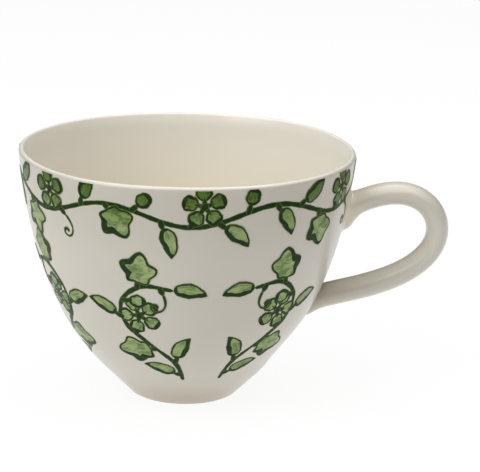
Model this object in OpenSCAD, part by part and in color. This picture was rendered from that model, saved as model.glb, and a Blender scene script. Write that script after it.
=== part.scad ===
// Wide stoneware cup with a small foot and an oval loop handle, in millimetres.
// +Z is up. The origin is on the cup's axis, at the table. The handle points along +X.

/* [Bowl] */
// Outside diameter of the mouth
mouth_d = 120; // [112:1:128]
// Height of the cup, from the table to the top of the lip
cup_h = 90; // [86:1:94]
// Thickness of the rounded lip
lip_t = 2.6; // [2.2:0.1:3.2]
// Height of the inside floor above the table
floor_z = 7.6; // [7:0.1:9]
// How far the wall first runs out from the foot, at 45 degrees
flare = 15.2; // [14:0.2:17]

/* [Foot ring] */
// Outside diameter of the foot where it meets the table
foot_d = 39; // [38:0.5:41]
// Inside diameter of the foot ring where it meets the table
foot_bore_d = 29.6; // [28:0.2:31]
// How much further in the bore reaches where it meets the bowl, on each side
foot_draft = 0.8; // [0.4:0.1:1.2]
// Rounding at the foot's two bottom edges
foot_edge_r = 0.6; // [0.4:0.1:1]

/* [Handle] */
// Thickness of the handle's loop, across its oval section
handle_t = 8; // [7:0.1:9]
// Width of the handle's loop, along Y
handle_w = 11; // [9:0.5:13]
// How much thicker the loop is past half way
lower_fullness = 0.5; // [0:0.1:1.5]
// Extra thickness and width where the upper root swells to meet the wall
upper_swell = [6.9, 5]; // [0:0.1:8]
// Extra thickness and width where the lower root swells to meet the wall
lower_swell = [3.9, 4]; // [0:0.1:8]
// Distance over which a root swells
swell_run = 5; // [3:0.1:7]

/* [Slip joints] */
// Thickness of the clay slip between the wall and a handle root
slip_t = 0.5; // [0.3:0.1:1]
// How far the slip's bead stands out round the root
bead = 1.2; // [0.6:0.1:2]

/* [Hidden] */
mouth_r = mouth_d / 2;
foot_r = foot_d / 2;
lip_z = cup_h - lip_t / 2;
inner_mouth_r = mouth_r - lip_t;
// Control points of the outside and the inside of the wall, as [radius, height]
outside = [[foot_r, 0], [foot_r + flare, flare], [mouth_r - 5.7, lip_z - 56], [mouth_r, lip_z]];
inside = [[0, floor_z], [46, floor_z], [inner_mouth_r - 4.1, lip_z - 26], [inner_mouth_r, lip_z]];
// Share of the outside curve that belongs to the foot ring
foot_share = 0.065;
foot_h = bezier(outside, foot_share)[1];
wall_steps = 28;
lip_steps = 8;
edge_steps = 4;
// Control points of the handle's centreline, from the upper root to the lower one, as [x past the mouth, z]
loop = [[-5.7, 68], [21.7, 80], [30.3, 89.8], [72.3, 21.6], [-19.9, 48.6], [-7.2, 32.6], [-18.8, 34.4]];
centreline = [for (p = loop) [mouth_r + p[0], p[1]]];
degree = len(centreline) - 1;
// Share of the centreline over which each root swells
upper_run = swell_run / (degree * norm(centreline[1] - centreline[0]));
lower_run = swell_run / (degree * norm(centreline[degree] - centreline[degree - 1]));
// The centreline's two ends run on this far into the wall, as a share of its length
bury = 0.07;
// The slip's bead reaches this far along the centreline from each end
bead_reach = 0.13;
handle_rings = 40;
bead_rings = 8;
section_sides = 20;
clay = [0.87, 0.84, 0.76];
bare_clay = [0.78, 0.70, 0.58];
slip = [0.82, 0.79, 0.71];

function bezier(p, t) =
    len(p) == 1 ? p[0] : bezier([for (i = [0:len(p) - 2]) p[i] * (1 - t) + p[i + 1] * t], t);
function bezier_heading(p, t) = bezier([for (i = [0:len(p) - 2]) p[i + 1] - p[i]], t);
function unit(v) = v / norm(v);
function ease(x) = let (c = min(max(x, 0), 1)) c * c * (3 - 2 * c);
function bell(x) = exp(-pow(max(x, 0), 2));
function arc(centre, r, from, to, steps) =
    [for (i = [0:steps]) let (a = from + (to - from) * i / steps) centre + r * [cos(a), sin(a)]];

// Outside of the wall from the foot ring's top to the lip, moved out by a distance
function wall_outside(out = 0) =
    [for (i = [0:wall_steps]) let (
        t = foot_share + (1 - foot_share) * i / wall_steps,
        along = unit(bezier_heading(outside, t))
    ) bezier(outside, t) + out * [along[1], -along[0]]];

module bowl() {
    lip = arc([mouth_r - lip_t / 2, lip_z], lip_t / 2, 0, 180, lip_steps);
    wall_inside = [for (i = [wall_steps - 1:-1:0]) bezier(inside, i / wall_steps)];
    color(clay)
        rotate_extrude($fn = 96)
            polygon(concat([[0, foot_h]], wall_outside(), [for (i = [1:lip_steps]) lip[i]], wall_inside));
}

module foot_ring() {
    bore_r = foot_bore_d / 2;
    e = foot_edge_r;
    flank = [for (i = [1:edge_steps]) bezier(outside, foot_share * i / edge_steps)];
    color(bare_clay)
        rotate_extrude($fn = 96)
            polygon(concat(
                [[bore_r - foot_draft, foot_h]],
                arc([bore_r + e, e], e, 180, 270, edge_steps),
                arc([foot_r - e, e], e, 270, 315, edge_steps),
                flank
            ));
}

// The bowl's outside as one filled solid, moved out by a distance
module filled_bowl(out = 0) {
    rim = mouth_r + out;
    top = cup_h + 5;
    rotate_extrude($fn = 96)
        polygon(concat([[0, 0], [foot_r + out, 0]], wall_outside(out), [[rim, top], [0, top]]));
}

// Half thickness and half width of the handle at a share of its centreline
function half_section(t) =
    ([handle_t + lower_fullness * ease((t - 0.4) / 0.3), handle_w]
        + upper_swell * bell(t / upper_run)
        + lower_swell * bell((1 - t) / lower_run)) / 2;

// One ring of the handle's section, square to the centreline
function section(t, grow) = let (
    c = bezier(centreline, t),
    d = unit(bezier_heading(centreline, t)),
    h = half_section(t) + [grow, grow]
) [for (i = [0:section_sides - 1]) let (
    a = 360 * i / section_sides,
    across = h[0] * cos(a)
) [c[0] - d[1] * across, h[1] * sin(a), c[1] + d[0] * across]];

// The solid swept along a stretch of the centreline
module sweep(from, to, rings, grow = 0) {
    n = section_sides;
    points = [for (k = [0:rings]) each section(from + (to - from) * k / rings, grow)];
    sides = [for (k = [0:rings - 1], i = [0:n - 1]) let (j = (i + 1) % n) each [
        [k * n + i, k * n + j, (k + 1) * n + j],
        [k * n + i, (k + 1) * n + j, (k + 1) * n + i]
    ]];
    first_end = [for (i = [n - 1:-1:0]) i];
    last_end = [for (i = [0:n - 1]) rings * n + i];
    polyhedron(points, concat([first_end], sides, [last_end]));
}

module handle() {
    color(clay)
        difference() {
            sweep(-bury, 1 + bury, handle_rings);
            filled_bowl(slip_t);
        }
}

// The layer of slip between the wall and a root, with the bead that is squeezed out round it
module slip_joint(from, to) {
    color(slip)
        intersection() {
            sweep(from, to, bead_rings, bead);
            difference() {
                filled_bowl(slip_t);
                filled_bowl();
            }
        }
}

module upper_slip_joint() { slip_joint(-bury, bead_reach); }
module lower_slip_joint() { slip_joint(1 - bead_reach, 1 + bury); }

bowl();
foot_ring();
handle();
upper_slip_joint();
lower_slip_joint();
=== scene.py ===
"""A wide glazed stoneware cup with a green vine print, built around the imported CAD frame.

Shapes are worked out in millimetres, in the frame's own axes, and become metres in make_mesh() and
lay_on_wall(). The materials, the camera, the lights and the floor are in metres.
Azimuths are in degrees: 0 faces -Y, and the handle is at 90, towards +X.
"""

import math

import bmesh
import bpy
import numpy as np
from mathutils import Matrix, Vector


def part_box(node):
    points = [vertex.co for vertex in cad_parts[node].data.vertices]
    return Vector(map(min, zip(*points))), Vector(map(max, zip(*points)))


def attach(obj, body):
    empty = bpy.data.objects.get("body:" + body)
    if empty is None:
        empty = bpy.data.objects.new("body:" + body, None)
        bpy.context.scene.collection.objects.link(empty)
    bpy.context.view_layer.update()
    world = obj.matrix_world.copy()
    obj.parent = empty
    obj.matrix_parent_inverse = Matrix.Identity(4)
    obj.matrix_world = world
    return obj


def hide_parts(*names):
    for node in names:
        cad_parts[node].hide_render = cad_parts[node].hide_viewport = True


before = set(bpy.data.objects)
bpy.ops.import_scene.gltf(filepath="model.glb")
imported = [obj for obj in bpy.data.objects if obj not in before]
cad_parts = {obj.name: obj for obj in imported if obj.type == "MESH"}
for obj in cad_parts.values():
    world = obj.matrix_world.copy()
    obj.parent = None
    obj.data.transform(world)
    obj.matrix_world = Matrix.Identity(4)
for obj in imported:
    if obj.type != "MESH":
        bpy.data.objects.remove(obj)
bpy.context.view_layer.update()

MM = 0.001
bowl_high = np.array(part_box("bowl")[1]) / MM
foot_high = np.array(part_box("foot_ring")[1]) / MM

# ---------------------------------------------------------------- sizes, in millimetres
CUP_H = bowl_high[2]
MOUTH_R = bowl_high[1]
FOOT_H = foot_high[2]
LIP_T = 2.6
LIP_Z = CUP_H - LIP_T / 2
# The lip's crest is this far from the axis
LIP_R = MOUTH_R - LIP_T / 2
FOOT_R = 19.5
FOOT_BORE_R = 14.8
FOOT_DRAFT = 0.8
FOOT_EDGE_R = 0.6
# The bare foot ring reaches this far up inside the glazed bowl
FOOT_OVERLAP = 0.3
FLARE = 15.2
FLOOR_Z = 7.6
INNER_MOUTH_R = MOUTH_R - LIP_T
OUTSIDE = [(FOOT_R, 0), (FOOT_R + FLARE, FLARE), (MOUTH_R - 5.7, LIP_Z - 56), (MOUTH_R, LIP_Z)]
INSIDE = [(0, FLOOR_Z), (46, FLOOR_Z), (INNER_MOUTH_R - 4.1, LIP_Z - 26), (INNER_MOUTH_R, LIP_Z)]
# Points round the bowl and the foot
SEGMENTS = 288
# The glaze on the foot's flank ends this far above the table, and is this thick
GLAZE_END = 0.5
GLAZE_T = 0.4
# The lip's inner side takes this much height to reach the wall's full thickness
LIP_FALL = 5.0

# How far the cup strays from true. Waves round the rim are (height, how many go round, where they start)
RIM_WAVES = ((0.22, 3, 0.6), (0.10, 5, 2.0))
RIM_SAG = 0.12
OUT_OF_ROUND = 0.0022
FOOT_NARROWING = 0.018
FLAT_UNDER_HANDLE = 1.15

# Control points of the handle's centreline, from the upper root to the lower one, as (x past the mouth, z)
LOOP = [(-5.7, 68), (21.7, 80), (30.3, 89.8), (72.3, 21.6), (-19.9, 48.6), (-7.2, 32.6), (-18.8, 34.4)]
HANDLE_T = 8.0
HANDLE_W = 11.0
LOWER_FULLNESS = 0.5
UPPER_SWELL = np.array([6.9, 5.0])
LOWER_SWELL = np.array([3.9, 4.0])
SWELL_RUN = 5.0
# Shares of the centreline between which its first and its last end meet the wall
WALL_MEETINGS = ((-0.1, 0.25), (1.1, 0.75))
# Each end of the handle stops this deep in the wall
HANDLE_DEPTH = 0.4
# Distance over which the painted light and shade round a root fade out
ROOT_PAINT_RUN = 9.0
# Points round the handle's section
SIDES = 56
AROUND = np.linspace(0, 2 * math.pi, SIDES, endpoint=False)


# ---------------------------------------------------------------- small maths
def bezier(points, t):
    """Points of a Bezier curve of any degree at the shares t."""
    points = np.array(points, float)
    t = np.atleast_1d(t)[:, None]
    n = len(points) - 1
    return sum(math.comb(n, i) * (1 - t) ** (n - i) * t**i * points[i] for i in range(n + 1))


def bezier_heading(points, t):
    """Unit direction of travel along a Bezier curve at the shares t."""
    d = bezier(np.diff(np.array(points, float), axis=0), t)
    return d / np.linalg.norm(d, axis=1, keepdims=True)


def smooth(x, low=0.0, high=1.0):
    """A smooth step from 0 at low to 1 at high; low may be the larger."""
    c = np.clip((np.asarray(x, float) - low) / (high - low), 0, 1)
    return c * c * (3 - 2 * c)


def arc(centre, radius, first, last, steps):
    """Points round a centre, between two angles in degrees."""
    a = np.radians(np.linspace(first, last, steps))
    return np.array(centre) + radius * np.stack([np.cos(a), np.sin(a)], 1)


def distance_along(points):
    """How far along a line each of its points lies."""
    return np.concatenate([[0], np.cumsum(np.linalg.norm(np.diff(points, axis=0), axis=1))])


def turn_between(a, b):
    """The angle between two directions, all in radians."""
    return np.abs((a - b + math.pi) % (2 * math.pi) - math.pi)


def spline(points, steps):
    """A smooth line through given points: a Catmull-Rom curve with its ends run on."""
    p = np.array(points, float)
    p = np.vstack([2 * p[0] - p[1], p, 2 * p[-1] - p[-2]])
    t = np.linspace(0, 1, steps, endpoint=False)[:, None]
    line = []
    for a, b, c, d in zip(p[:-3], p[1:-2], p[2:-1], p[3:]):
        squared = 2 * a - 5 * b + 4 * c - d
        cubed = 3 * (b - c) + d - a
        line.append(b + 0.5 * t * (c - a + t * (squared + t * cubed)))
    return np.vstack([*line, p[-2]])


# ---------------------------------------------------------------- the wall that everything sits on
def profile_table():
    """The outside of the wall from the table to just short of the lip's crest: the distance along it, its
    points as (radius, height), and its normals."""
    t = np.linspace(0, 1, 600)
    wall, heading = bezier(OUTSIDE, t), bezier_heading(OUTSIDE, t)
    normal = np.stack([heading[:, 1], -heading[:, 0]], 1)
    lip_normal = arc((0, 0), 1, 2, 80, 40)
    points = np.vstack([wall, np.array([LIP_R, LIP_Z]) + LIP_T / 2 * lip_normal])
    return distance_along(points), points, np.vstack([normal, lip_normal])


RUN, WALL, WALL_NORMAL = profile_table()


def run_at(height):
    """Distance along the wall from the table, for a height above it."""
    return np.interp(height, WALL[:, 1], RUN)


def radius_at(run):
    """Radius of the outside of the wall, for a distance along it."""
    return np.interp(run, RUN, WALL[:, 0])


def by_hand(points):
    """The unevenness of a cup finished by hand: the rim waves by a few tenths and isn't quite round, the foot
    is a little narrow, and the wall is flatter low down under the handle."""
    x, y, z = points.T
    azimuth = np.arctan2(x, -y)
    up = smooth(z, 35, CUP_H)
    wave = sum(high * np.sin(count * azimuth + start) for high, count, start in RIM_WAVES)
    width = 1 + OUT_OF_ROUND * up * np.sin(2 * azimuth + 1.1) - FOOT_NARROWING * smooth(z, 14, 6)
    under_handle = smooth(z, 8, 17) * smooth(z, 34, 19) * smooth(np.sin(azimuth))
    return np.stack([x * width - FLAT_UNDER_HANDLE * under_handle, y * width, z + up * (wave - RIM_SAG)], 1)


def on_wall(azimuth, run, lift):
    """Points and normals on the outside of the wall, lifted off it."""
    r, z = radius_at(run), np.interp(run, RUN, WALL[:, 1])
    out, rise = (np.interp(run, RUN, WALL_NORMAL[:, k]) for k in (0, 1))
    a = np.radians(azimuth)
    r, z = r + out * lift, z + rise * lift
    points = np.stack([r * np.sin(a), -r * np.cos(a), z], 1)
    return by_hand(points), np.stack([out * np.sin(a), -out * np.cos(a), rise], 1)


# ---------------------------------------------------------------- meshes
# Edges that turn by more than this are shown sharp
SHARP_TURN = math.radians(50)


def make_mesh(name, points, faces, numbers=None, material=None, unit=MM):
    """A piece from points in millimetres, or in another unit. numbers are extra values per point that its
    material reads."""
    mesh = bpy.data.meshes.new(name)
    mesh.from_pydata((np.asarray(points) * unit).tolist(), [], [list(map(int, f)) for f in faces])
    mesh.validate()
    mesh.shade_smooth()
    mesh.set_sharp_from_angle(angle=SHARP_TURN)
    for key, values in (numbers or {}).items():
        values = np.asarray(values, np.float32)
        kind = "FLOAT" if values.ndim == 1 else "FLOAT_VECTOR"
        layer = mesh.attributes.new(key, kind, "POINT")
        layer.data.foreach_set("value" if kind == "FLOAT" else "vector", values.ravel())
    piece = bpy.data.objects.new(name, mesh)
    bpy.context.scene.collection.objects.link(piece)
    if material is not None:
        mesh.materials.append(material)
    return piece


def grid_faces(rows, columns, closed=False):
    """Quads of a grid of points; closed joins the last column to the first."""
    across = columns if closed else columns - 1
    row, i = np.meshgrid(np.arange(rows - 1) * columns, np.arange(across), indexing="ij")
    j = (i + 1) % columns
    quads = np.stack([row + i, row + j, row + columns + j, row + columns + i], -1)
    return quads.reshape(-1, 4).tolist()


def revolve(profile, closed):
    """Points and faces of a profile of (radius, height) turned about Z. An open one starts and ends on Z."""
    a = np.linspace(0, 2 * math.pi, SEGMENTS, endpoint=False)
    rows = profile if closed else profile[1:-1]
    ring = np.stack([np.sin(a), -np.cos(a)], 1)
    points = np.concatenate([np.column_stack([ring * r, np.full(SEGMENTS, z)]) for r, z in rows])
    faces = grid_faces(len(rows), SEGMENTS, closed=True)
    n, last = SEGMENTS, (len(rows) - 1) * SEGMENTS
    if closed:
        faces += [[last + i, last + (i + 1) % n, (i + 1) % n, i] for i in range(n)]
        return points, faces
    points = np.vstack([points, [0, 0, profile[0][1]], [0, 0, profile[-1][1]]])
    first_pole, last_pole = len(points) - 2, len(points) - 1
    faces += [[first_pole, (i + 1) % n, i] for i in range(n)]
    faces += [[last_pole, last + i, last + (i + 1) % n] for i in range(n)]
    return points, faces


# ---------------------------------------------------------------- bowl and foot
def bowl_profile():
    """Half section of the bowl with its glaze, from the middle of its underside, down over the foot ring's
    flank, up the outside, over the lip and down inside. The lip is round outside and falls away gently
    inside."""
    shares = np.linspace(0, 1, 400)
    first = np.interp(GLAZE_END, bezier(OUTSIDE, shares)[:, 1], shares)
    outside = bezier(OUTSIDE, np.linspace(first, 1, 64))
    coat_r = outside[0, 0] - GLAZE_T
    underside = [(r, FOOT_H) for r in (0, 4, 8, 12, 16, coat_r)] + [(coat_r, GLAZE_END)]
    outer_lip = arc((LIP_R, LIP_Z), LIP_T / 2, 0, 90, 10)[1:]
    inner_wall = bezier(INSIDE, shares)
    last = np.interp(CUP_H - LIP_FALL, inner_wall[:, 1], shares)
    inside = bezier(INSIDE, np.linspace(last, 0, 66))
    turn = np.radians(np.linspace(90, 0, 20))[1:-1]
    height = CUP_H - LIP_FALL * (1 - np.sin(turn))
    wall_r = np.interp(height, inner_wall[:, 1], inner_wall[:, 0])
    inner_lip = np.stack([wall_r + (LIP_R - wall_r) * (1 - np.cos(turn)), height], 1)
    return np.vstack([underside, outside, outer_lip, inner_lip, inside])


def build_bowl(material):
    """The glazed bowl, with a number that is 0 outside and 1 inside the cup for its material."""
    points, faces = revolve(bowl_profile(), closed=False)
    radius, height = np.hypot(points[:, 0], points[:, 1]), points[:, 2]
    beyond = radius_at(run_at(np.minimum(height, LIP_Z))) - radius
    inside = np.where(height > FOOT_H + 1, smooth(beyond, 0.2, LIP_T / 2), 0)
    return make_mesh("glazed_bowl", by_hand(points), faces, numbers={"inside": inside}, material=material)


def build_foot(material):
    """The bare foot ring: its bottom edges are softened, and its flank lies just inside the glaze."""
    e, top = FOOT_EDGE_R, FOOT_H + FOOT_OVERLAP
    inner = arc((FOOT_BORE_R + e, e), e, 180, 270, 6)
    outer = arc((FOOT_R - e, e), e, 270, 320, 6)
    profile = np.vstack([(FOOT_BORE_R - FOOT_DRAFT, top), inner, outer, (FOOT_R, top)])
    points, faces = revolve(profile, closed=True)
    return make_mesh("bare_foot_ring", by_hand(points), faces, material=material)


# ---------------------------------------------------------------- handle and its slip joints
def handle_rail(t, angle):
    """Points on the handle's surface at the shares t of its length and the angles round its oval section."""
    centreline = [(MOUTH_R + x, z) for x, z in LOOP]
    degree = len(centreline) - 1
    legs = np.linalg.norm(np.diff(np.array(centreline, float), axis=0), axis=1)
    upper = np.exp(-((np.maximum(t, 0) * degree * legs[0] / SWELL_RUN) ** 2))[:, None]
    lower = np.exp(-((np.maximum(1 - t, 0) * degree * legs[-1] / SWELL_RUN) ** 2))[:, None]
    thickness = HANDLE_T + LOWER_FULLNESS * smooth(t, 0.4, 0.7)
    size = np.stack([thickness, np.full(len(t), HANDLE_W)], 1)
    half = (size + UPPER_SWELL * upper + LOWER_SWELL * lower) / 2
    c, d = bezier(centreline, t), bezier_heading(centreline, t)
    across = half[:, 0] * np.cos(angle)
    y = half[:, 1] * np.sin(angle)
    return np.stack([c[:, 0] - d[:, 1] * across, y, c[:, 1] + d[:, 0] * across], 1)


def depth(points):
    """How deep points lie in the wall, measured square to its outside."""
    run = run_at(points[:, 2])
    gap = radius_at(run) - np.hypot(points[:, 0], points[:, 1])
    return gap * np.interp(run, RUN, WALL_NORMAL[:, 0])


def where_depth(angle, wanted, end):
    """Share of the centreline at which each rail is at a depth, near its first (0) or last (1) end."""
    t = np.linspace(*WALL_MEETINGS[end], 500)
    found = []
    for a in angle:
        d = depth(handle_rail(t, np.full(len(t), a)))
        k = int(np.argmax(d < wanted))
        found.append(np.interp(wanted, [d[k], d[k - 1]], [t[k], t[k - 1]]))
    return np.array(found)


def root_painted_light_and_shade(points):
    """How strongly the painted light round the upper root and the painted shade round the lower one show: 1
    at the wall, and little a finger's width off it.
    """
    return np.exp(-np.maximum(-depth(points), 0) / ROOT_PAINT_RUN)


def build_handle(material):
    """The oval loop; each end stops just under the wall's surface."""
    first, last = (where_depth(AROUND, HANDLE_DEPTH, end) for end in (0, 1))
    rows = [handle_rail(first + (last - first) * u, AROUND) for u in np.linspace(0, 1, 150)]
    points = np.vstack([*rows, rows[0].mean(0), rows[-1].mean(0)])
    n, start = SIDES, (len(rows) - 1) * SIDES
    faces = grid_faces(len(rows), n, closed=True)
    faces += [[len(points) - 2, (i + 1) % n, i] for i in range(n)]
    faces += [[len(points) - 1, start + i, start + (i + 1) % n] for i in range(n)]
    return make_mesh("glazed_handle", points, faces, numbers={"root_painted_light_and_shade": root_painted_light_and_shade(points)}, material=material)


def build_slip_joint(name, end, reach, spread, material):
    """The filled corner round a root: a hollow curve from a little way up the handle, reach as a share of its
    centreline, to spread mm out on the wall, closed underneath."""
    at_wall = where_depth(AROUND, 0.0, end)
    inward = 1 if end == 0 else -1
    corner = handle_rail(at_wall, AROUND)
    up_handle = handle_rail(at_wall + inward * reach, AROUND)
    middle = corner.mean(0)
    away = corner - middle
    azimuth = np.degrees(np.arctan2(corner[:, 0], -corner[:, 1]))
    side, rise = away[:, 1:].T / np.linalg.norm(away[:, 1:], axis=1)
    run = run_at(corner[:, 2])
    foot_azimuth = azimuth + np.degrees(spread * side / radius_at(run))
    foot, _ = on_wall(foot_azimuth, run + spread * rise, 0.02)
    buried, _ = on_wall(foot_azimuth, run + spread * rise, -0.5)
    core = corner + (middle - corner) * 0.2
    shares = np.linspace(0, 1, 9)
    rows = [(1 - u) ** 2 * up_handle + 2 * u * (1 - u) * corner + u**2 * foot for u in shares]
    rows += [buried, core]
    points = np.vstack(rows)
    n, start = SIDES, (len(rows) - 1) * SIDES
    faces = grid_faces(len(rows), n, closed=True)
    faces += [[start + i, start + (i + 1) % n, (i + 1) % n, i] for i in range(n)]
    return make_mesh(name, points, faces, numbers={"root_painted_light_and_shade": root_painted_light_and_shade(points)}, material=material)


# ---------------------------------------------------------------- the printed vine
# A place on the wall is (azimuth in degrees, run along the wall in mm). Sizes are in mm. A heading is
# clockwise from straight up the wall, in degrees. Every shape is a thin closed slab just off the glaze.
# The print is cut off this far up the wall
RIM_RUN = run_at(LIP_Z) + 0.3
# How far a slab's underside lies below the glaze, how far the lowest slab's top stands off it, and how much
# higher each later slab does, until the layers start again
SUNK = -0.15
LOWEST = 0.03
LAYER = 0.006
LAYERS = 40
# Spreads the seeds of the shapes evenly between 0 and 1
GOLDEN = 0.6180339
# Width of a brush stroke in a patch
STROKE_W = 9.0
# Rings of points in a patch, as shares of its reach
RINGS = np.linspace(0.1, 1, 10)
# Rows of points along a leaf
LEAF_ROWS = 20

# The stem: its half widths from end to end, and the length over which its edge wavers
STEM_HALF_WIDTHS = (0.7, 1.0, 0.7, 1.1, 0.8, 1.0, 0.7)
WAVER_RUN = 12
# A shoot: its angle off the stem, and its stalk's length, width, and overlaps with the stem and at its tip
SHOOT_ANGLE = 58
STALK = 2.6
STALK_W = 2.2
STALK_ROOT = 0.6
STALK_TIP = 0.4
# What a shoot carries
LEAF_LENGTH = 11.5
LEAF_WIDTH = 6.0
LEAF_BEND = 40
BUD_LENGTH = 6.2
BLOSSOM_R = 7.8
PETALS = 5
# The broad leaf: its longest lobe, and each lobe as (turn off the leaf's heading, share of the longest lobe)
IVY_REACH = 8.4
LOBES = ((0, 1.0), (68, 0.85), (-68, 0.85), (136, 0.65), (-136, 0.65), (180, 0.5))
LOBE_BREADTH = 1.1
LOBE_SHARPNESS = 6
# The tendril: its steps, the first one's length and turn, and how much each later one shortens and tightens
CURL_STEPS = 26
CURL_STEP = 0.9
CURL_SHORTER = 0.022
CURL_TURN = 4
CURL_TIGHTER = 1.1

# The garland: its mean height, how far its stem swings from that, its waves, and its ends beside the handle
GARLAND_H = 79.5
GARLAND_SWING = 3.4
GARLAND_WAVES = 6
GARLAND_ENDS = (96 - 360, 84)
# The sprigs: where they stand, their middle's height, and their stem's bends to the right of and above it
SPRIG_AZIMUTHS = (-65, -16, 38, 146, 197, 246)
SPRIG_H = 33
SPRIG_BENDS = ((-9, -23), (-8, -13), (-1, -4), (7, 5), (8, 15), (0, 22), (-11, 21))


def place(azimuth, height):
    """The place at an azimuth and a height."""
    return np.array([azimuth, run_at(height)])


def degree_size(run):
    """Length in mm of one degree round the wall."""
    return radius_at(run) * math.pi / 180


def shift(start, x, y):
    """The place x mm to the right of and y mm above another one."""
    run = start[1] + np.asarray(y)
    return np.stack([start[0] + np.asarray(x) / degree_size(run), run], -1)


def toward(start, heading, distance):
    """The place at a distance from another one, along a heading."""
    a = math.radians(heading)
    return shift(start, distance * math.sin(a), distance * math.cos(a))


def unsteady(share, seed):
    """The small changes of width that a hand-cut stamp has."""
    slow = np.sin(2 * math.pi * (2 * share + seed))
    quick = np.sin(2 * math.pi * (5 * share + 3 * seed))
    return 1 + 0.05 * slow + 0.025 * quick


def fullness(share, ends):
    """A leaf's width along it, as a share of its greatest. ends say how it starts and ends: 0.5 is round and
    1 is pointed."""
    a, b = ends
    fullest = (a / (a + b)) ** a * (b / (a + b)) ** b
    return np.clip(share, 1e-4, 1) ** a * np.clip(1 - share, 1e-4, 1) ** b / fullest


class Print:
    """One printed piece: slabs gathered flat as (azimuth, run, lift), then laid on the wall."""

    def __init__(self, name, material, slot):
        self.name, self.material, self.slot = name, material, slot
        self.points, self.faces, self.strokes, self.from_edge = [], [], [], []
        self.size = 0

    def add_slab(self, top, faces, border, lift, strokes, from_edge):
        """A slab from its top's places, its top's faces and the points round its border. strokes says where
        each point lies in its brush stroke, and from_edge how many mm it lies from the border."""
        n = len(top)
        for level in (lift, SUNK):
            self.points.append(np.column_stack([top, np.full(n, level)]))
            self.strokes.append(strokes)
            self.from_edge.append(from_edge)
        start = self.size
        self.faces += [[start + i for i in face] for face in faces]
        self.faces += [[start + n + i for i in reversed(face)] for face in faces]
        for a, b in zip(border, border[1:] + border[:1]):
            self.faces.append([start + a, start + n + a, start + n + b, start + b])
        self.size += 2 * n

    def add_ribbon(self, line, left, right, columns, lift, seed):
        """A band along a line of places, with its half widths to the left and the right of its way."""
        scale = degree_size(line[:, 1])
        flat = np.stack([line[:, 0] * scale.mean(), line[:, 1]], 1)
        ahead = np.gradient(flat, axis=0)
        ahead /= np.maximum(np.linalg.norm(ahead, axis=1, keepdims=True), 1e-9)
        across = np.linspace(1, -1, columns)
        reach = (left[:, None] * (1 + across) - right[:, None] * (1 - across)) / 2
        azimuth = line[:, :1] - reach * ahead[:, 1:] / scale[:, None]
        run = line[:, 1:] + reach * ahead[:, :1]
        rows = len(line)
        top = np.stack([azimuth, run], -1).reshape(-1, 2)
        along = np.repeat(np.linspace(0, 1, rows), columns)
        strokes = np.column_stack([along, np.tile(across, rows), np.full(len(top), seed)])
        index = np.arange(rows * columns).reshape(rows, columns)
        border = [*index[0], *index[1:, -1], *index[-1, -2::-1], *index[-2:0:-1, 0]]
        from_edge = np.outer((left + right) / 2, 1 - np.abs(across)).ravel()
        self.add_slab(top, grid_faces(rows, columns), border, lift, strokes, from_edge)

    def add_patch(self, centre, angle, reach, lift, seed):
        """A patch round a centre, with its reach at each angle counted from the right towards up."""
        n = len(angle)
        x, y = np.outer(RINGS, reach * np.cos(angle)), np.outer(RINGS, reach * np.sin(angle))
        top = np.vstack([centre, shift(centre, x.ravel(), y.ravel())])
        faces = [[0, 1 + i, 1 + (i + 1) % n] for i in range(n)]
        for k in range(len(RINGS) - 1):
            inner, outer = 1 + k * n, 1 + (k + 1) * n
            faces += [[inner + i, outer + i, outer + (i + 1) % n, inner + (i + 1) % n] for i in range(n)]
        last = 1 + (len(RINGS) - 1) * n
        along, across = np.append(0, x) / STROKE_W, np.append(0, y) / STROKE_W
        strokes = np.column_stack([along, across, np.full(len(top), seed)])
        from_edge = np.concatenate([[reach.mean()], np.outer(1 - RINGS, reach).ravel()])
        self.add_slab(top, faces, list(range(last, last + n)), lift, strokes, from_edge)

    def lay_on_wall(self):
        """Cuts the print off at the rim and bends it onto the wall."""
        flat = np.vstack(self.points)
        numbers = {"stroke": np.vstack(self.strokes), "from_edge": np.concatenate(self.from_edge)}
        piece = make_mesh(self.name, flat, self.faces, numbers=numbers, unit=1)
        cut = bmesh.new()
        cut.from_mesh(piece.data)
        whole = cut.verts[:] + cut.edges[:] + cut.faces[:]
        rim = {"plane_co": (0, RIM_RUN, 0), "plane_no": (0, 1, 0)}
        found = bmesh.ops.bisect_plane(cut, geom=whole, clear_outer=True, **rim)
        edges = [part for part in found["geom_cut"] if isinstance(part, bmesh.types.BMEdge)]
        bmesh.ops.holes_fill(cut, edges=edges)
        cut.to_mesh(piece.data)
        cut.free()
        flat = np.array([vert.co for vert in piece.data.vertices])
        points, normals = on_wall(flat[:, 0], flat[:, 1], flat[:, 2])
        piece.data.vertices.foreach_set("co", (points * MM).ravel())
        piece.data.shade_smooth()
        piece.data.normals_split_custom_set_from_vertices(normals.tolist())
        piece.data.materials.append(self.material)
        add_piece(piece, self.slot)


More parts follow.
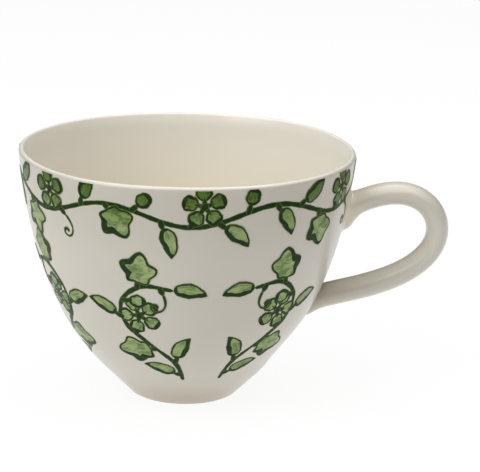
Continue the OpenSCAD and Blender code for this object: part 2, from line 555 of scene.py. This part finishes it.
class Spray:
    """Grows a vine by rule: a stem, and shoots on alternate sides that carry leaves, buds, blossoms or
    tendrils. Each shape is dark, and a leaf, a bud or a petal has a light shape on top of it. What a shoot
    carries grows from a base along a heading, on one side of the stem: 1 is the right and -1 the left."""

    def __init__(self, dark, light):
        self.dark, self.light = dark, light
        self.count = 0

    def next_layer(self):
        """The lift and the seed of the next shape."""
        self.count += 1
        return LOWEST + LAYER * (self.count % LAYERS), self.count * GOLDEN % 1

    def stem(self, line, widths):
        """A dark line with round ends along places on the wall; widths are half widths along it."""
        gone = distance_along(line * [degree_size(line[:, 1].mean()), 1])
        lift, seed = self.next_layer()
        half = np.interp(gone / gone[-1], np.linspace(0, 1, len(widths)), widths)
        half *= unsteady(gone / WAVER_RUN, seed) ** 1.5
        to_end = np.minimum(gone, gone[-1] - gone) / half
        half = np.where(to_end < 1, half * np.sqrt(np.clip(to_end * (2 - to_end), 0.02, 1)), half)
        self.dark.add_ribbon(line, half, half, 3, lift, seed)

    def blade(self, start, end, width, bend=0, ends=(0.5, 0.5), ink=(0.7, 1.1), cap=None, dark=False):
        """A leaf or petal between two places. bend turns it to the left and back, ends are as in fullness(),
        ink is the dark edge's thickness on the left and the right, and cap is the same at its far end. dark
        leaves out the light shape."""
        lift, seed = self.next_layer()
        scale = degree_size((start[1] + end[1]) / 2)
        chord = (end - start) * [scale, 1]
        length = np.linalg.norm(chord)
        side = np.array([-chord[1], chord[0]]) * math.tan(math.radians(bend) / 4) / 2

        def half_width(share):
            return np.maximum(width / 2 * fullness(share, ends) * unsteady(share, seed), 0.04)

        def band(sheet, share, trim, level, columns):
            column = share[:, None]
            line = start + (column * chord + 4 * column * (1 - column) * side) / [scale, 1]
            half, thick = half_width(share), unsteady(share, seed + 0.3) ** 2
            left, right = (half - edge * thick for edge in trim)
            sheet.add_ribbon(line, left, right, columns, level, seed)

        ease = (1 - np.cos(np.linspace(0, math.pi, LEAF_ROWS))) / 2
        columns = 3 if width < 2.5 else 9
        band(self.dark, ease, (0, 0), lift, columns)
        if dark:
            return
        # The light shape covers the stretch where there is room for it between the dark edges
        fine = np.linspace(0, 1, 200)
        first, last = 0.5 * sum(ink) / length, 1 - (cap or 0.5 * sum(ink)) / length
        room = 2 * half_width(fine) - 1.15 * sum(ink)
        inner = fine[(room > 0.2) & (fine > first) & (fine < last)]
        if len(inner) > 10:
            band(self.light, inner[0] + (inner[-1] - inner[0]) * ease, ink, lift + LAYER / 2, columns)

    def leaf(self, base, heading, side):
        """A slim pointed leaf."""
        ink = (0.7, 1.8) if side > 0 else (1.8, 0.7)
        self.blade(base, toward(base, heading, LEAF_LENGTH), LEAF_WIDTH, LEAF_BEND * side, (0.5, 0.8), ink)

    def bud(self, base, heading, side):
        """A round bud with a dark cap."""
        self.blade(base, toward(base, heading, BUD_LENGTH), BUD_LENGTH * 0.9, ink=(0.8, 1.4), cap=1.6)

    def ivy_leaf(self, base, heading, side):
        """A broad leaf with five lobes, the longest in front, and a short one back to the stalk."""
        lift, seed = self.next_layer()
        middle = toward(base, heading, IVY_REACH * 0.42)
        angle = np.linspace(-math.pi, math.pi, 96, endpoint=False)
        share = angle / (2 * math.pi)
        edge = np.full(len(angle), (0.3 * IVY_REACH) ** LOBE_SHARPNESS)
        for turn, size in LOBES:
            away = turn_between(angle, math.radians(90 - heading + turn))
            edge += (IVY_REACH * size * np.exp(-((away / LOBE_BREADTH) ** 1.5))) ** LOBE_SHARPNESS
        edge = edge ** (1 / LOBE_SHARPNESS) * unsteady(share, seed)
        self.dark.add_patch(middle, angle, edge, lift, seed)
        slope = (np.roll(edge, -1) - np.roll(edge, 1)) / (2 * (angle[1] - angle[0])) / edge
        shaded = np.maximum(np.cos(angle - math.radians(90 - heading - 70 * side)), 0) ** 1.5
        thick = (0.8 + 2.0 * shaded) * unsteady(share, seed + 0.5) ** 2
        inner = np.maximum(edge - thick * np.sqrt(1 + slope**2), 0.12 * edge)
        self.light.add_patch(middle, angle, inner, lift + LAYER / 2, seed)

    def blossom(self, base, heading, side):
        """Round petals, evenly spaced round a dark middle with a dark ray into each of them."""
        middle = toward(base, heading, BLOSSOM_R * 0.8)
        ways = [heading + 360 * (k + 0.5) / PETALS for k in range(PETALS)]
        for way in ways:
            start, end = (toward(middle, way, share * BLOSSOM_R) for share in (0.25, 1))
            self.blade(start, end, 0.76 * BLOSSOM_R, ends=(0.55, 0.42), ink=(0.8, 1.2), cap=1.5)
        for way in ways:
            self.blade(middle, toward(middle, way, 0.5 * BLOSSOM_R), 1.8, ends=(0.3, 0.9), dark=True)
        start, end = (toward(middle, heading, distance) for distance in (-1.4, 1.4))
        self.blade(start, end, 2.8, dark=True)

    def tendril(self, base, heading, side):
        """A thin stem that curls up on itself."""
        line = [base]
        for k in range(CURL_STEPS):
            line.append(toward(line[-1], heading, CURL_STEP - CURL_SHORTER * k))
            heading += side * (CURL_TURN + CURL_TIGHTER * k)
        self.stem(np.array(line), (0.6, 0.4, 0.4, 0.7))

    def vine(self, line, side, *shoots):
        """A stem along places on the wall, with its shoots spaced evenly along it on alternate sides. side is
        the first one's."""
        self.stem(line, STEM_HALF_WIDTHS)
        spots = (np.arange(len(shoots)) + 0.5) / len(shoots) * (len(line) - 1)
        for spot, shoot in zip(spots.astype(int), shoots):
            x, y = (line[spot + 1] - line[spot]) * [degree_size(line[spot, 1]), 1]
            heading = math.degrees(math.atan2(x, y)) + SHOOT_ANGLE * side
            tip = toward(line[spot], heading, STALK)
            start, end = toward(line[spot], heading, -STALK_ROOT), toward(tip, heading, STALK_TIP)
            self.blade(start, end, STALK_W, ends=(0.3, 0.4), dark=True)
            shoot(tip, heading, side)
            side = -side


def draw_garland(s):
    """The vine that waves round under the rim. Its ends stop on either side of the handle's upper root."""
    azimuth = np.linspace(*GARLAND_ENDS, 400)
    waves_gone = np.linspace(0, GARLAND_WAVES, len(azimuth))
    one_wave = [s.ivy_leaf, s.bud, s.leaf, s.blossom, s.leaf, s.bud]
    next_wave = [s.leaf, s.leaf, s.ivy_leaf, s.blossom, s.tendril, s.leaf]
    first_shoot = 0.5 / len(one_wave)
    height = GARLAND_H + GARLAND_SWING * np.cos(2 * math.pi * (waves_gone - first_shoot))
    s.vine(np.column_stack([azimuth, run_at(height)]), 1, *(one_wave + next_wave) * (GARLAND_WAVES // 2))


def draw_sprig(s, azimuth, side):
    """A sprig that climbs from low on the wall and bends over, to the left (side 1) or the right (-1)."""
    middle = place(azimuth, SPRIG_H)
    line = spline([shift(middle, x * side, y) for x, y in SPRIG_BENDS], 12)
    s.vine(line, side, s.leaf, s.leaf, s.ivy_leaf, s.blossom, s.leaf, s.bud, s.ivy_leaf, s.tendril)
    s.leaf(line[-1], -100 * side, -side)


def print_vine(name, outline, fill, draw, *where):
    """One vine as two pieces: its dark shapes, and the light ones on top of them."""
    dark = Print(name + "_outline", outline, "green_outline")
    light = Print(name + "_fill", fill, "green_fill")
    draw(Spray(dark, light), *where)
    dark.lay_on_wall()
    light.lay_on_wall()


def print_the_cup(outline, fill):
    """The garland under the rim and the sprigs below it, which leave the handle's side free."""
    print_vine("garland", outline, fill, draw_garland)
    for k, azimuth in enumerate(SPRIG_AZIMUTHS):
        print_vine(f"sprig_{k + 1}", outline, fill, draw_sprig, azimuth, (-1) ** k)


# ---------------------------------------------------------------- materials
class Nodes:
    """Short calls for building one material."""

    def __init__(self, name):
        self.material = bpy.data.materials.new(name)
        self.material.use_nodes = True
        self.tree = self.material.node_tree
        self.shader = self.tree.nodes["Principled BSDF"]

    def node(self, kind, inputs, **settings):
        made = self.tree.nodes.new(kind)
        for key, value in settings.items():
            setattr(made, key, value)
        for key, value in inputs.items():
            self.put(made.inputs[key], value)
        return made

    def put(self, socket, value):
        if isinstance(value, bpy.types.NodeSocket):
            self.tree.links.new(value, socket)
        else:
            socket.default_value = value

    def shade(self, **values):
        for key, value in values.items():
            self.put(self.shader.inputs[key.replace("_", " ")], value)

    def position(self):
        return self.node("ShaderNodeTexCoord", {}).outputs["Object"]

    def noise(self, vector, scale, detail=2.0, roughness=0.5):
        inputs = {"Vector": vector, "Scale": scale, "Detail": detail, "Roughness": roughness}
        return self.node("ShaderNodeTexNoise", inputs).outputs["Fac"]

    def mix(self, share, a, b):
        """Colour a where share is 0, and b where it is 1."""
        made = self.node("ShaderNodeMix", {0: share, 6: a, 7: b}, data_type="RGBA")
        return made.outputs[2]

    def span(self, value, low, high, out_low=0.0, out_high=1.0):
        """A smooth step of a value, from out_low at low to out_high at high."""
        inputs = {"Value": value, "From Min": low, "From Max": high, "To Min": out_low, "To Max": out_high}
        return self.node("ShaderNodeMapRange", inputs, interpolation_type="SMOOTHSTEP").outputs["Result"]

    def maths(self, operation, a, b=0.0):
        return self.node("ShaderNodeMath", {0: a, 1: b}, operation=operation).outputs["Value"]

    def number(self, name):
        return self.node("ShaderNodeAttribute", {}, attribute_name=name).outputs["Fac"]

    def stroke(self):
        return self.node("ShaderNodeAttribute", {}, attribute_name="stroke").outputs["Vector"]

    def stretched(self, vector, scale):
        return self.node("ShaderNodeMapping", {"Vector": vector, "Scale": scale}).outputs["Vector"]

    def height(self, position):
        return self.node("ShaderNodeSeparateXYZ", {"Vector": position}).outputs["Z"]

    def bump(self, height, strength, distance):
        inputs = {"Height": height, "Strength": strength, "Distance": distance}
        self.shade(Normal=self.node("ShaderNodeBump", inputs).outputs["Normal"])

    def ripple(self, position):
        """The slight ripple of the glaze, which the print under it shares."""
        self.bump(self.noise(position, 70, 2.0, 0.4), 0.10, 0.0012)


# Colours of the glaze outside and inside, with its painted light and shade, of the clay, and of the print's
# two greens, with their painted reflection low on the cup
CREAM = (0.610, 0.577, 0.500, 1)
CREAM_WARM = (0.580, 0.540, 0.450, 1)
# Painted shade towards the bottom of the cup
CREAM_BOTTOM_PAINTED_SHADE = (0.46, 0.395, 0.295, 1)
# Painted shade on the outside towards the lip
CREAM_UNDER_LIP_PAINTED_SHADE = (0.49, 0.455, 0.385, 1)
# The glaze inside the cup, painted lighter than the same glaze outside: painted light
CREAM_INSIDE_PAINTED_LIGHT = (0.708, 0.660, 0.545, 1)
CREAM_INSIDE_WARM_PAINTED_LIGHT = (0.684, 0.630, 0.506, 1)
# Painted light inside the cup towards the rim, also used for the painted highlight on the lip's crest
CREAM_INSIDE_RIM_PAINTED_LIGHT = (0.81, 0.785, 0.725, 1)
# Painted light round the handle's upper root and painted shade round its lower root
CREAM_ROOT_PAINTED_LIGHT = (0.78, 0.71, 0.58, 1)
CREAM_ROOT_PAINTED_SHADE = (0.455, 0.415, 0.305, 1)
CLAY = (0.48, 0.40, 0.30, 1)
CLAY_DARK = (0.33, 0.26, 0.18, 1)
# Ink with a painted bluish reflection, used low on the cup
INK_WITH_PAINTED_REFLECTION = (0.016, 0.036, 0.013, 1)
INK_HIGH = (0.007, 0.023, 0.002, 1)
INK_THIN = (0.045, 0.09, 0.03, 1)
INK_FRINGE = (0.13, 0.19, 0.03, 1)
# Light green with a painted pale reflection, used low on the cup
WASH_WITH_PAINTED_REFLECTION = (0.34, 0.415, 0.18, 1)
WASH_HIGH = (0.13, 0.22, 0.034, 1)
WASH_DEEP = (0.07, 0.15, 0.035, 1)


def glaze_material():
    """A cream glaze that pools a little unevenly, with faint specks. The same glaze is painted lighter inside
    the cup than outside, as painted light, and lighter still towards the rim inside. The lip's crest has a
    painted highlight. There is painted light round the handle's upper root and painted shade round the lower
    one, and painted shade darkens the outside towards the lip and the cup towards its bottom, inside and out."""
    n = Nodes("cream_glaze")
    position = n.position()
    cloud = n.maths("MULTIPLY", n.span(n.noise(position, 26, 3.0), 0.35, 0.7), 0.5)
    height = n.height(position)
    outside = n.mix(cloud, CREAM, CREAM_WARM)
    # Painted shade: the outside is painted darker towards the lip
    outside = n.mix(n.span(height, 0.058, 0.084, 0.0, 0.55), outside, CREAM_UNDER_LIP_PAINTED_SHADE)
    # Painted light round the handle's upper root, painted shade round its lower root
    root_light_and_shade = n.mix(n.span(height, 0.045, 0.06), CREAM_ROOT_PAINTED_SHADE, CREAM_ROOT_PAINTED_LIGHT)
    outside = n.mix(n.maths("MULTIPLY", n.number("root_painted_light_and_shade"), 0.8), outside, root_light_and_shade)
    # Painted light: the same glaze is painted lighter inside the cup than outside
    within = n.mix(cloud, CREAM_INSIDE_PAINTED_LIGHT, CREAM_INSIDE_WARM_PAINTED_LIGHT)
    # Painted light: the inside is painted lighter towards the rim
    within = n.mix(n.span(height, 0.056, 0.086, 0.0, 0.75), within, CREAM_INSIDE_RIM_PAINTED_LIGHT)
    colour = n.mix(n.number("inside"), outside, within)
    speck = n.span(n.noise(position, 900, 1.0), 0.74, 0.8, 0.0, 0.12)
    colour = n.mix(speck, colour, CLAY)
    # Painted highlight: the lip's crest is painted lighter
    crest = n.span(height, (CUP_H - 0.9) * MM, (CUP_H - 0.1) * MM, 0.0, 0.2)
    colour = n.mix(crest, colour, CREAM_INSIDE_RIM_PAINTED_LIGHT)
    # Painted shade: darker towards the bottom of the cup, outside and inside
    colour = n.mix(n.span(height, 0.0005, 0.018, 0.95, 0.0), colour, CREAM_BOTTOM_PAINTED_SHADE)
    n.shade(Base_Color=colour, Roughness=0.38, Specular_IOR_Level=0.4)
    n.shade(Coat_Weight=0.45, Coat_Roughness=0.12)
    n.ripple(position)
    return n.material


def bare_clay_material():
    """Unglazed stoneware: sandy and matt, with darker grains."""
    n = Nodes("bare_stoneware")
    position = n.position()
    colour = n.mix(n.noise(position, 160, 4.0), CLAY, CREAM_WARM)
    grain = n.span(n.noise(position, 1400, 1.0), 0.62, 0.72)
    colour = n.mix(n.maths("MULTIPLY", grain, 0.7), colour, CLAY_DARK)
    n.shade(Base_Color=colour, Roughness=0.86)
    n.bump(n.noise(position, 1600, 3.0), 0.35, 0.0003)
    return n.material


def ink_material():
    """The dark green of stems and edges: uneven in strength, deeper at the rim and bluer low on the cup,
    where the blue is a painted reflection on the glaze, and a lighter yellow green where it bleeds out along
    its border."""
    n = Nodes("green_outline")
    position = n.position()
    rim = n.span(n.height(position), 0.066, 0.086)
    # Painted reflection: the ink is bluer and paler low on the cup
    colour = n.mix(rim, INK_WITH_PAINTED_REFLECTION, INK_HIGH)
    thin = n.span(n.noise(position, 330, 3.0, 0.6), 0.5, 0.75)
    streak = n.span(n.noise(n.stretched(n.stroke(), (3, 5, 30)), 1.4), 0.45, 0.75)
    colour = n.mix(n.maths("MULTIPLY", n.maths("MAXIMUM", thin, streak), 0.5), colour, INK_THIN)
    colour = n.mix(n.span(n.number("from_edge"), 0.0, 0.4, 0.8, 0.0), colour, INK_FRINGE)
    n.shade(Base_Color=colour, Roughness=0.3, Specular_IOR_Level=0.04)
    n.shade(Coat_Weight=0.05, Coat_Roughness=0.12)
    n.ripple(position)
    return n.material


def wash_material():
    """The light green inside leaves and petals: streaked along the leaf, richer towards the rim, and paler
    low on the cup, where the paleness is a painted reflection on the glaze.
    """
    n = Nodes("green_fill")
    position = n.position()
    rim = n.span(n.height(position), 0.070, 0.088)
    # Painted reflection: the light green is paler low on the cup
    light = n.mix(rim, WASH_WITH_PAINTED_REFLECTION, WASH_HIGH)
    streak = n.noise(n.stretched(n.stroke(), (1.6, 3.2, 40)), 1.6, 3.0, 0.6)
    cloud = n.noise(position, 240, 3.0, 0.6)
    share = n.span(n.maths("MULTIPLY", n.maths("ADD", streak, cloud), 0.5), 0.42, 0.60)
    share = n.maths("MAXIMUM", n.maths("MULTIPLY", share, 0.8), n.maths("MULTIPLY", rim, 0.4))
    n.shade(Base_Color=n.mix(share, light, n.mix(rim, WASH_DEEP, INK_HIGH)))
    n.shade(Roughness=0.3, Specular_IOR_Level=0.08, Coat_Weight=0.08, Coat_Roughness=0.12)
    n.ripple(position)
    return n.material


# ---------------------------------------------------------------- camera, lights and floor
LENS = 166.3
SENSOR = 36.0
CAMERA_DISTANCE = 0.8
CAMERA_RISE = math.radians(16.3)
CAMERA_ROLL = math.radians(1.05)
CUP_MIDDLE = Vector((0, 0, 0.045))
# How far the middle of the picture lies to the right of and above the cup's middle, as shares of its width
AIM_RIGHT = 0.1133
AIM_ABOVE = 0.0679
LIGHTS_AIM = Vector((0, 0, 0.05))
FLOOR_REACH = 3.0
FLOOR_POINTS = 48


def add_camera():
    """A long lens a little above the cup, aimed to the right of its axis because of the handle."""
    forward = Vector((0, math.cos(CAMERA_RISE), -math.sin(CAMERA_RISE)))
    level, upright = Vector((1, 0, 0)), Vector((0, math.sin(CAMERA_RISE), math.cos(CAMERA_RISE)))
    right = level * math.cos(CAMERA_ROLL) + upright * math.sin(CAMERA_ROLL)
    up = upright * math.cos(CAMERA_ROLL) - level * math.sin(CAMERA_ROLL)
    aim = (forward + SENSOR / LENS * (AIM_RIGHT * right + AIM_ABOVE * up)).normalized()
    right = (right - right.dot(aim) * aim).normalized()
    up = right.cross(aim)
    data = bpy.data.cameras.new("camera")
    data.lens, data.sensor_width = LENS, SENSOR
    data.clip_start, data.clip_end = 0.05, 20
    camera = bpy.data.objects.new("camera", data)
    turn = Matrix((right, up, -aim)).transposed().to_4x4()
    camera.matrix_world = Matrix.Translation(CUP_MIDDLE - CAMERA_DISTANCE * forward) @ turn
    bpy.context.scene.collection.objects.link(camera)
    bpy.context.scene.camera = camera


def add_light(name, place, size, power):
    """A soft square light panel turned to the cup; its place and size are in metres, its power in watts."""
    data = bpy.data.lights.new(name, "AREA")
    data.size, data.energy = size, power
    lamp = bpy.data.objects.new(name, data)
    lamp.location = place
    lamp.rotation_euler = (LIGHTS_AIM - Vector(place)).to_track_quat("-Z", "Y").to_euler()
    bpy.context.scene.collection.objects.link(lamp)


def add_floor():
    """A floor that glows by itself, so that the cup stands on white with a faint shadow."""
    n = Nodes("pale_floor")
    n.shade(Base_Color=(0.08, 0.08, 0.08, 1), Roughness=0.9, Specular_IOR_Level=0.0)
    n.shade(Emission_Color=(1, 1, 1, 1), Emission_Strength=0.92)
    grid = np.linspace(-FLOOR_REACH, FLOOR_REACH, FLOOR_POINTS)
    x, y = np.meshgrid(grid, grid)
    points = np.stack([x.ravel(), y.ravel(), np.zeros(x.size)], 1)
    faces = grid_faces(FLOOR_POINTS, FLOOR_POINTS)
    make_mesh("floor", points, faces, material=n.material, unit=1)


def set_stage():
    add_camera()
    add_floor()
    add_light("overhead", place=(-0.15, -0.1, 1.1), size=1.6, power=14.6)
    add_light("left", place=(-0.75, -0.6, 0.9), size=0.8, power=6.8)
    add_light("right", place=(0.7, -0.3, 1.0), size=0.8, power=2.4)
    add_light("behind", place=(0.45, 0.45, 1.1), size=0.8, power=2.8)
    world = bpy.data.worlds.new("studio")
    bpy.context.scene.world = world
    world.use_nodes = True
    background = world.node_tree.nodes["Background"]
    background.inputs["Color"].default_value = (1, 1, 1, 1)
    background.inputs["Strength"].default_value = 0.05
    bpy.context.scene.view_settings.view_transform = "Standard"


# ---------------------------------------------------------------- putting it together
def add_piece(piece, slot, *nodes):
    """Hands a piece to the frame: it rides on the root, and may replace CAD nodes."""
    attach(piece, "root")
    if nodes:
        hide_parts(*nodes)


set_stage()
glaze = glaze_material()
add_piece(build_bowl(glaze), "cream_glaze", "bowl")
add_piece(build_foot(bare_clay_material()), "bare_stoneware", "foot_ring")
add_piece(build_handle(glaze), "cream_glaze", "handle")
upper = build_slip_joint("upper_slip_joint_glazed", end=0, reach=0.008, spread=2.2, material=glaze)
add_piece(upper, "cream_glaze", "upper_slip_joint")
lower = build_slip_joint("lower_slip_joint_glazed", end=1, reach=0.007, spread=1.9, material=glaze)
add_piece(lower, "cream_glaze", "lower_slip_joint")
print_the_cup(ink_material(), wash_material())
